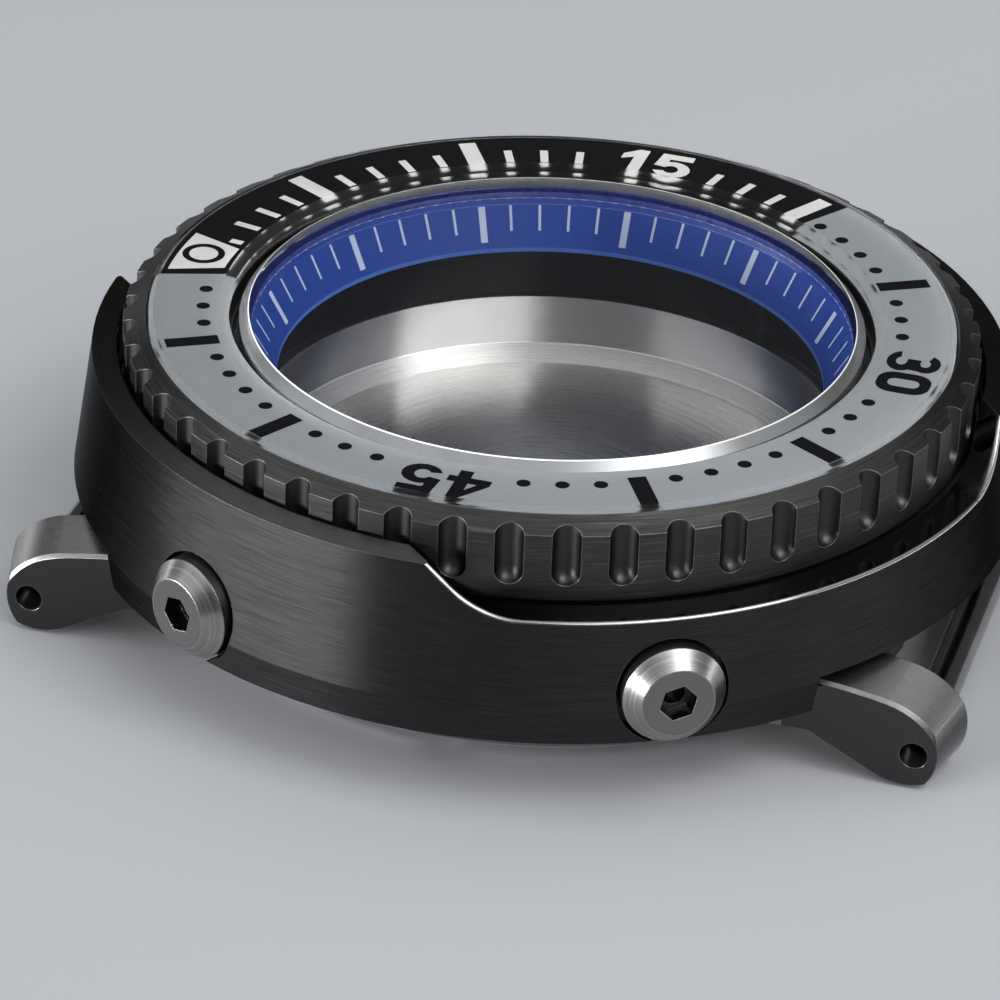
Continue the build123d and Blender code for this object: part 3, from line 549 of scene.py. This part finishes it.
def lathe(bm, outline, segments):
    """A closed ring from a closed outline of (radius, height) points in millimetres."""
    rings = []
    for i in range(segments):
        turn = 2 * pi * i / segments
        rings.append([bm.verts.new((r * cos(turn) * MM, r * sin(turn) * MM, z * MM))
                      for r, z in outline])
    for i in range(segments):
        join_loops(bm, rings[i], rings[(i + 1) % segments])


def plate(bm, outline, low, high, holes=()):
    """A thin closed plate from an outline of (x, y) points in millimetres, with holes."""
    loops = [outline, *holes]
    low_loops = [[bm.verts.new((x * MM, y * MM, low * MM)) for x, y in loop] for loop in loops]
    high_loops = [[bm.verts.new((x * MM, y * MM, high * MM)) for x, y in loop] for loop in loops]
    for lower, upper in zip(low_loops, high_loops):
        join_loops(bm, lower, upper)
    for layer in (low_loops, high_loops):
        edges = []
        for loop in layer:
            for k in range(len(loop)):
                edges.append(bm.edges.get((loop[k], loop[(k + 1) % len(loop)])))
        bmesh.ops.triangle_fill(bm, use_beauty=True, edges=edges)


def polar(radius, angle):
    """A point from its radius and its angle in degrees."""
    return (radius * cos(radians(angle)), radius * sin(radians(angle)))


# Insert: a glass ring with the scale printed at its bottom, in millimetres and degrees
RING_SEGMENTS = 360
INSERT_OUTLINE = [(15.25, 13.25), (19.0, 13.25), (19.0, 13.80), (18.78, 13.95), (15.70, 13.95),
                  (15.25, 13.67)]
# The print stands about a degree off the case's zero, as it does in the photograph
PRINT_TURN, PRINT_Z, PRINT_T = -0.96, 13.26, 0.006
BASE_R = (15.30, 18.95)
DARK_R, DARK_FROM, DARK_TO_IN, DARK_TO_OUT = (15.31, 18.94), -33.4, 95.5, 98.3
LONG_BAR, LONG_BAR_WHITE, LONG_BAR_W = (15.96, 18.48), (15.96, 18.53), 0.85
SHORT_BAR, FIRST_BAR, SHORT_BAR_W = (16.16, 17.49), (16.16, 16.80), 0.40
DOT_RING_R, DOT_R, DOT_SIDES = 16.45, 0.325, 20
NUMERAL_R = 17.18
ZERO_FIELD_R, ZERO_FIELD_IN, ZERO_FIELD_OUT = (16.05, 18.63), (86.3, 93.8), (84.0, 96.5)
ZERO_PLACE_R, ZERO_RADII, ZERO_PIECES = 17.45, (1.03, 0.70), 23
ARC_STEP = 1.5
# Minutes of the marks, degrees of a minute and of 12 o'clock
BLACK_BARS, WHITE_BARS = (25, 35, 40, 50, 55), (5, 10, 20)
DOT_RUNS = ((21, 24), (26, 28), (32, 34), (36, 39), (41, 43), (47, 49), (51, 54), (56, 58))
FIRST_MINUTE, SHORT_BARS = 1, (2, 3, 4, 6, 7, 8, 9, 11, 12, 13, 17, 18, 19)
NUMERAL_ANGLES = {"15": -0.15, "30": 270.1, "45": 180.1}
MINUTE, TWELVE = 6, 90
# Layers of print, from the lowest to the highest
BLACK_LAYER, WHITE_LAYER, ZERO_LAYER = 0, 1, 2


def print_plate(bm, outline, layer, holes=()):
    low = PRINT_Z + layer * PRINT_T
    plate(bm, outline, low, low + PRINT_T, holes)


def place_on_insert(loop, angle, radius, shift=0.0):
    """Move a loop of (x, y) points, drawn upright, to an angle and a radius of the insert."""
    turn = radians(angle + PRINT_TURN)
    out, right = Vector((cos(turn), sin(turn))), Vector((sin(turn), -cos(turn)))
    return [tuple(out * (radius + y) + right * (shift + x)) for x, y in loop]


def arc_points(radius, start, end, pieces):
    return [polar(radius, start + (end - start) * i / pieces) for i in range(pieces + 1)]


def ring_sector(bm, r_in, r_out, start_in, end_in, start_out, end_out, layer):
    """A printed field between two radii, with its own angles at each radius."""
    pieces = max(2, int(abs(end_out - start_out) / ARC_STEP))
    outline = arc_points(r_out, start_out + PRINT_TURN, end_out + PRINT_TURN, pieces)
    outline += arc_points(r_in, end_in + PRINT_TURN, start_in + PRINT_TURN, pieces)
    print_plate(bm, outline, layer)


def bar(bm, minute, r_in, r_out, width, layer):
    """A straight radial bar of one width."""
    turn = radians(TWELVE - MINUTE * minute + PRINT_TURN)
    out = (cos(turn), sin(turn))
    side = (-sin(turn) * width / 2, cos(turn) * width / 2)
    outline = [(r_in * out[0] + side[0], r_in * out[1] + side[1]),
               (r_in * out[0] - side[0], r_in * out[1] - side[1]),
               (r_out * out[0] - side[0], r_out * out[1] - side[1]),
               (r_out * out[0] + side[0], r_out * out[1] + side[1])]
    print_plate(bm, outline, layer)


def dot(bm, minute):
    x, y = polar(DOT_RING_R, TWELVE - MINUTE * minute + PRINT_TURN)
    turns = [2 * pi * i / DOT_SIDES for i in range(DOT_SIDES)]
    outline = [(x + DOT_R * cos(turn), y + DOT_R * sin(turn)) for turn in turns]
    print_plate(bm, outline, BLACK_LAYER)


def curve_points(centre, radii, start, end, pieces=12):
    """Points of an elliptic arc in a numeral's own millimetres."""
    points = []
    for i in range(pieces + 1):
        turn = radians(start + (end - start) * i / pieces)
        points.append((centre[0] + radii[0] * cos(turn), centre[1] + radii[1] * sin(turn)))
    return points


def round_box(half_w, half_h, corner):
    """Points of a box with round corners, about its own middle."""
    points = []
    for cx, cy, start in ((1, 1, 0), (-1, 1, 90), (-1, -1, 180), (1, -1, 270)):
        centre = (cx * (half_w - corner), cy * (half_h - corner))
        points += curve_points(centre, (corner, corner), start, start + 90, 6)
    return points


NUMERAL_HALF_W, NUMERAL_HALF_H, NUMERAL_STROKE, NUMERAL_GAP = 1.0, 1.27, 0.62, 0.14


def numeral(digit):
    """Outline and holes of one bold numeral, about its own middle."""
    w, h, t = NUMERAL_HALF_W, NUMERAL_HALF_H, NUMERAL_STROKE
    if digit == "0":
        return round_box(w, h, 0.80), [round_box(w - t, h - t * 0.85, 0.34)]
    if digit == "1":
        stem = [(0.05, -h), (0.05 + t, -h), (0.05 + t, h), (0.15, h), (-0.55, 0.62),
                (-0.55, 0.05), (0.05, 0.40)]
        return stem, []
    if digit == "3":
        outline = curve_points((0, 0.62), (0.88, 0.65), 165, -25)
        outline += curve_points((0, -0.56), (0.98, 0.71), 38, -165)
        outline += curve_points((-0.02, -0.58), (0.40, 0.26), -160, 90)
        outline += [(-0.30, -0.32), (-0.30, 0.32)]
        outline += curve_points((-0.02, 0.56), (0.34, 0.24), -90, 160)
        return outline, []
    if digit == "4":
        outline = [(0.12, h), (0.62, h), (0.62, -0.18), (w, -0.18), (w, -0.70), (0.62, -0.70),
                   (0.62, -h), (0.0, -h), (0.0, -0.70), (-w, -0.70), (-w, -0.22)]
        return outline, [[(0.0, -0.18), (-0.42, -0.18), (0.0, 0.42)]]
    # Only the 5 is left
    outline = [(-0.78, h), (0.86, h), (0.86, 0.72), (-0.28, 0.72)]
    outline += curve_points((0.04, -0.385), (0.94, 0.885), 112, -160)
    outline += curve_points((0.0, -0.38), (0.38, 0.40), -150, 120)
    outline += [(-0.36, -0.20), (-0.92, -0.10)]
    return outline, []


def add_numerals(bm, text, layer):
    pitch = 2 * NUMERAL_HALF_W + NUMERAL_GAP
    for index, digit in enumerate(text):
        shift = (index - (len(text) - 1) / 2) * pitch
        outline, holes = numeral(digit)
        loops = [place_on_insert(loop, NUMERAL_ANGLES[text], NUMERAL_R, shift)
                 for loop in (outline, *holes)]
        print_plate(bm, loops[0], layer, loops[1:])


def draw_glass(bm):
    lathe(bm, INSERT_OUTLINE, RING_SEGMENTS)


def draw_base(bm):
    r_in, r_out = BASE_R
    low = PRINT_Z - PRINT_T
    lathe(bm, [(r_in, low), (r_out, low), (r_out, PRINT_Z), (r_in, PRINT_Z)], RING_SEGMENTS)


def draw_black(bm):
    """The black field of the first third, and the marks on the grey rest."""
    ring_sector(bm, *DARK_R, DARK_FROM, DARK_TO_IN, DARK_FROM, DARK_TO_OUT, BLACK_LAYER)
    for minute in BLACK_BARS:
        bar(bm, minute, *LONG_BAR, LONG_BAR_W, BLACK_LAYER)
    for first, last in DOT_RUNS:
        for minute in range(first, last + 1):
            dot(bm, minute)
    add_numerals(bm, "30", BLACK_LAYER)
    add_numerals(bm, "45", BLACK_LAYER)


def draw_white(bm):
    """The marks on the black field, and the white field at the zero."""
    for minute in WHITE_BARS:
        bar(bm, minute, *LONG_BAR_WHITE, LONG_BAR_W, WHITE_LAYER)
    bar(bm, FIRST_MINUTE, *FIRST_BAR, SHORT_BAR_W, WHITE_LAYER)
    for minute in SHORT_BARS:
        bar(bm, minute, *SHORT_BAR, SHORT_BAR_W, WHITE_LAYER)
    add_numerals(bm, "15", WHITE_LAYER)
    ring_sector(bm, *ZERO_FIELD_R, *ZERO_FIELD_IN, *ZERO_FIELD_OUT, WHITE_LAYER)


def draw_zero(bm):
    """The ring in the white field."""
    last = 360 - 360 / (ZERO_PIECES + 1)
    circles = [curve_points((0, 0), (r, r), 0, last, ZERO_PIECES) for r in ZERO_RADII]
    loops = [place_on_insert(circle, TWELVE, ZERO_PLACE_R) for circle in circles]
    print_plate(bm, loops[0], ZERO_LAYER, loops[1:])


def add_insert():
    clear = glass("insert_glass", tint=grey(0.98), coating=grey(0.02), edge_rough=0.34)
    base = material("insert_base", print_paint((0.28, 0.30, 0.315), (0.32, 0.335, 0.35)))
    black = material("insert_black", print_paint((0.003, 0.003, 0.004), (0.007, 0.007, 0.008)))
    white = material("insert_white", print_paint((0.70, 0.70, 0.68), (0.78, 0.78, 0.76)))
    for name, draw, mat, smooth_angle in (
            ("insert_glass", draw_glass, clear, INSERT_SMOOTH),
            ("insert_base", draw_base, base, None),
            ("insert_black", draw_black, black, None),
            ("insert_white", draw_white, white, None),
            ("insert_zero", draw_zero, black, None)):
        bm = bmesh.new()
        draw(bm)
        piece = mesh_object(name, bm, mat, smooth_angle)
        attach(piece, "bezel")
        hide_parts("bezel_insert")


# Edge of the crystal: (radius, height) of its bevel outside and of its ground wall inside, silvery
# skins that are partly ground glass and partly painted reflection
BEVEL_FOOT, BEVEL_TOP = (14.75, 13.35), (14.30, 13.80)
SKIN_LOW, SKIN_HIGH = 0.002, 0.010
EDGE_WALL = [(14.725, 11.42), (14.74, 11.42), (14.74, 13.34), (14.725, 13.34)]


def add_crystal_edge():
    low = [(r + SKIN_LOW, z + SKIN_LOW) for r, z in (BEVEL_FOOT, BEVEL_TOP)]
    high = [(r + SKIN_HIGH, z + SKIN_HIGH) for r, z in (BEVEL_TOP, BEVEL_FOOT)]
    edge = material("crystal_edge", crystal_edge)
    for name, outline in (("crystal_bevel", low + high), ("crystal_wall", EDGE_WALL)):
        bm = bmesh.new()
        lathe(bm, outline, RING_SEGMENTS)
        piece = mesh_object(name, bm, edge, EDGE_SMOOTH)
        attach(piece, "case")


# Ticks of the chapter ring, on its sloping face: width and inner radius, and the rest
CHAPTER_LOW, CHAPTER_HIGH = (12.95, 8.85), (14.20, 10.98)
LONG_TICK, SHORT_TICK, TICK_TO_R = (0.34, 13.12), (0.13, 13.38), 14.02
TICKS, TICKS_TO_LONG = 60, 5
TICK_SINK, TICK_RISE = -0.004, 0.010
# The pale line along the ring's top edge, a painted highlight: half width, height, rise and
# segments
LINE_W, LINE_H, LINE_RISE, LINE_TURNS = 0.03, 0.06, 0.006, 240


def add_chapter_ticks():
    """Sixty minute ticks, every fifth one long and wide, and a pale line along the ring's top as a
    painted highlight.
    """
    slope = (CHAPTER_HIGH[1] - CHAPTER_LOW[1]) / (CHAPTER_HIGH[0] - CHAPTER_LOW[0])
    length = sqrt(1 + slope * slope)
    lift_r, lift_z = -slope / length, 1 / length
    bm = bmesh.new()
    for i in range(TICKS):
        turn = radians(MINUTE * i)
        width, r_in = SHORT_TICK if i % TICKS_TO_LONG else LONG_TICK
        out, side = Vector((cos(turn), sin(turn), 0)), Vector((-sin(turn), cos(turn), 0))
        loops = []
        for lift in (TICK_SINK, TICK_RISE):
            corners = []
            for r, s in ((r_in, -1), (r_in, 1), (TICK_TO_R, 1), (TICK_TO_R, -1)):
                z = CHAPTER_LOW[1] + (r - CHAPTER_LOW[0]) * slope + lift * lift_z
                place = out * (r + lift * lift_r) + side * (s * width / 2)
                corners.append(bm.verts.new((place.x * MM, place.y * MM, z * MM)))
            loops.append(corners)
        bm.faces.new(loops[0])
        bm.faces.new(loops[1])
        join_loops(bm, *loops)
    # A pale ring along the top edge of the chapter ring: painted highlight
    r, z = CHAPTER_HIGH
    lathe(bm, [(r - LINE_W, z - LINE_H), (r + LINE_W, z - LINE_H), (r + LINE_W, z + LINE_RISE),
               (r, z + LINE_RISE)], LINE_TURNS)
    paint = material("chapter_print_and_highlight", print_paint((0.34, 0.40, 0.55), (0.42, 0.48, 0.62)))
    ticks = mesh_object("chapter_ticks_and_top_highlight", bm, paint)
    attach(ticks, "case")


# Coil springs, in millimetres: coil radius, wire radius and turns
CLICK_COIL, CROWN_COIL, BAR_COIL = (0.40, 0.08, 5), (0.66, 0.07, 3), (0.44, 0.13, 12)
# Where their axes lie, and how far along them they reach
CLICK_Y, CLICK_FROM_Z, CLICK_TO_Z = 18.7, 6.92, 8.28
CROWN_COIL_FROM, CROWN_COIL_TO = 23.86, 24.46
BAR_Y, BAR_Z, BAR_COIL_END_X, BAR_COIL_MIDDLE_X = 21.2, 1.79, 8.32, 0.0208
COIL_SEGMENTS, WIRE_SIDES = 20, 8


def along_crown(distance):
    """A point on the crown's axis, from its distance to the case axis."""
    return (distance * cos(CROWN_ANGLE), distance * sin(CROWN_ANGLE), CROWN_Z / MM)


def coil_list():
    """Coil, node that it replaces, bodies at its two ends, places of these ends, and sizes."""
    coils = [("click_coil", "click_spring", "case", "click", (0, CLICK_Y, CLICK_FROM_Z),
              (0, CLICK_Y, CLICK_TO_Z), CLICK_COIL),
             ("crown_coil", "crown_spring", "crown_post", "crown", along_crown(CROWN_COIL_FROM),
              along_crown(CROWN_COIL_TO), CROWN_COIL)]
    for strap_bar, y in (("spring_bar_12", BAR_Y), ("spring_bar_6", -BAR_Y)):
        for side, sign in (("left", -1), ("right", 1)):
            coils.append((f"{strap_bar}_coil_{side}", f"{strap_bar}_spring",
                          f"{strap_bar}_pin_{side}", "case", (sign * BAR_COIL_END_X, y, BAR_Z),
                          (sign * BAR_COIL_MIDDLE_X, y, BAR_Z), BAR_COIL))
    return coils


def draw_coil(bm, first, last, radius, wire, turns):
    """A wire wound round the line between two points, closed at both ends."""
    axis = (last - first).normalized()
    side = axis.orthogonal().normalized()
    up = axis.cross(side)
    run = (last - first).length - 2 * wire
    steps = turns * COIL_SEGMENTS
    rings = []
    for i in range(steps + 1):
        turn = 2 * pi * i / COIL_SEGMENTS
        out = cos(turn) * side + sin(turn) * up
        middle = first + axis * (wire + run * i / steps) + radius * out
        ring = []
        for k in range(WIRE_SIDES):
            lean = 2 * pi * k / WIRE_SIDES
            place = middle + wire * (cos(lean) * out + sin(lean) * axis)
            ring.append(bm.verts.new(place * MM))
        rings.append(ring)
    for near, far in zip(rings, rings[1:]):
        join_loops(bm, near, far)
    bm.faces.new(rings[0])
    bm.faces.new(rings[-1])


def add_coils():
    """Real coils in the place of the plain springs."""
    for name, node, first_body, last_body, first, last, size in coil_list():
        first, last = Vector(first), Vector(last)
        bm = bmesh.new()
        draw_coil(bm, first, last, *size)
        piece = mesh_object(name, bm, bpy.data.materials["spring_steel"], COIL_SMOOTH)
        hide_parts(node)
        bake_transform(piece)


# Lamps: name, place and aim in metres, width and height, and watts
LAMPS = (
    ("front", (-0.234, -0.289, 0.334), (0, 0, 0.01), (0.43, 0.28), 0.95),
    ("key", (-0.10, -0.30, 0.50), (0, 0, 0.01), (0.34, 0.26), 0.75),
    ("side", (-0.90, 1.30, 0.18), (0, 0, 0.02), (1.60, 0.30), 42.0),
)
# Pale patches of the world: azimuth and half width in degrees, lowest and highest part, level
WINDOWS = ((126, 24, 0.36, 0.64, 1.5), (287, 30, 0.0, 0.19, 3.2), (66, 26, 0.0, 0.19, 2.2))
WINDOW_EDGE, WINDOW_FACING = 0.04, (0.2, 0.3)
# Levels of the world, and the parts of it between which they change
WORLD_LOW, WORLD_HIGH, WORLD_BEHIND, WORLD_FRONT = 0.24, 0.85, 0.08, 0.10
RISE, DARK_BELOW, BEHIND, IN_FRONT = (0.30, 0.85), (0.55, 0.75), (0.40, 0.75), (0.45, 0.85)
WORLD_TINT = (0.97, 0.985, 1.0, 1)
FLOOR_HALF = 1.5


def add_area(name, place, aim, size, power):
    """A soft box that points at its aim."""
    data = bpy.data.lights.new(name, "AREA")
    data.shape = "RECTANGLE"
    data.size, data.size_y = size
    data.energy = power
    lamp = bpy.data.objects.new(name, data)
    scene.collection.objects.link(lamp)
    lamp.location = place
    lamp.rotation_euler = (Vector(aim) - Vector(place)).to_track_quat("-Z", "Y").to_euler()


def window(n, level, azimuth, half_width, low, high, strength):
    """A pale patch of the world between two heights, given by its azimuth in degrees."""
    turn, reach = radians(azimuth), sin(radians(half_width))
    aside = n.math("ABSOLUTE", n.math("SUBTRACT", n.times(n.x, sin(turn)),
                                      n.times(n.y, cos(turn))))
    width = n.both(n.step(n.toward(turn), *WINDOW_FACING),
                   n.below(aside, (reach - WINDOW_EDGE, reach)))
    height = n.both(n.step(n.z, low, low + WINDOW_EDGE),
                    n.below(n.z, (high - WINDOW_EDGE, high)))
    return n.blend(n.both(width, height), level, strength)


def add_world():
    """A soft grey room: pale above, darker round the horizon and darkest behind the watch."""
    world = bpy.data.worlds.new("world")
    scene.world = world
    world.use_nodes = True
    n = Layers(world.node_tree, "Generated")
    level = n.blend(n.step(n.z, *RISE), WORLD_LOW, WORLD_HIGH)
    low = n.below(n.z, DARK_BELOW)
    toward = n.toward(CAM_AZ)
    behind = n.both(low, n.step(n.times(toward, -1.0), *BEHIND))
    front = n.both(low, n.step(toward, *IN_FRONT))
    level = n.blend(behind, level, WORLD_BEHIND)
    level = n.blend(front, level, WORLD_FRONT)
    for patch in WINDOWS:
        level = window(n, level, *patch)
    background = world.node_tree.nodes["Background"]
    n.put(background.inputs["Strength"], level)
    background.inputs["Color"].default_value = WORLD_TINT


def add_studio():
    """World, soft boxes and a plain floor."""
    add_world()
    for lamp in LAMPS:
        add_area(*lamp)

    bm = bmesh.new()
    bmesh.ops.create_grid(bm, x_segments=1, y_segments=1, size=FLOOR_HALF)
    floor = mesh_object("floor", bm, material("floor", floor_paint))


def dress_nodes():
    """A finish for every CAD node, by its material slot."""
    finishes = {
        "case_steel": material("case_steel", case_steel),
        "back_steel": material("back_steel", back_steel),
        "seal": material("seal", rubber),
        "crystal": glass("crystal", tint=grey(0.985), coating=(0.02, 0.03, 0.10), edge_rough=0.05),
        "chapter_ring": material("chapter_ring", chapter_paint),
        "bezel_steel": material("bezel_steel", bezel_steel),
        "insert": material("insert", rubber),
        "adhesive": material("adhesive", adhesive),
        "shroud_steel": material("shroud_steel", shroud_steel),
        "screw_steel": material("screw_steel", screw_steel),
        "crown_steel": material("crown_steel", crown_steel),
        "spring_steel": material("spring_steel", spring_steel),
    }
    for subpart in frame["record"]["subparts"]:
        data = nodes[subpart["node"]].data
        data.materials.clear()
        data.materials.append(finishes[subpart["material_slot"]])
    seal = nodes["crystal_gasket"].data
    seal.materials.clear()
    seal.materials.append(material("crystal_seal", clear_seal))


add_camera()
add_studio()
dress_nodes()
add_insert()
add_crystal_edge()
add_chapter_ticks()
add_coils()
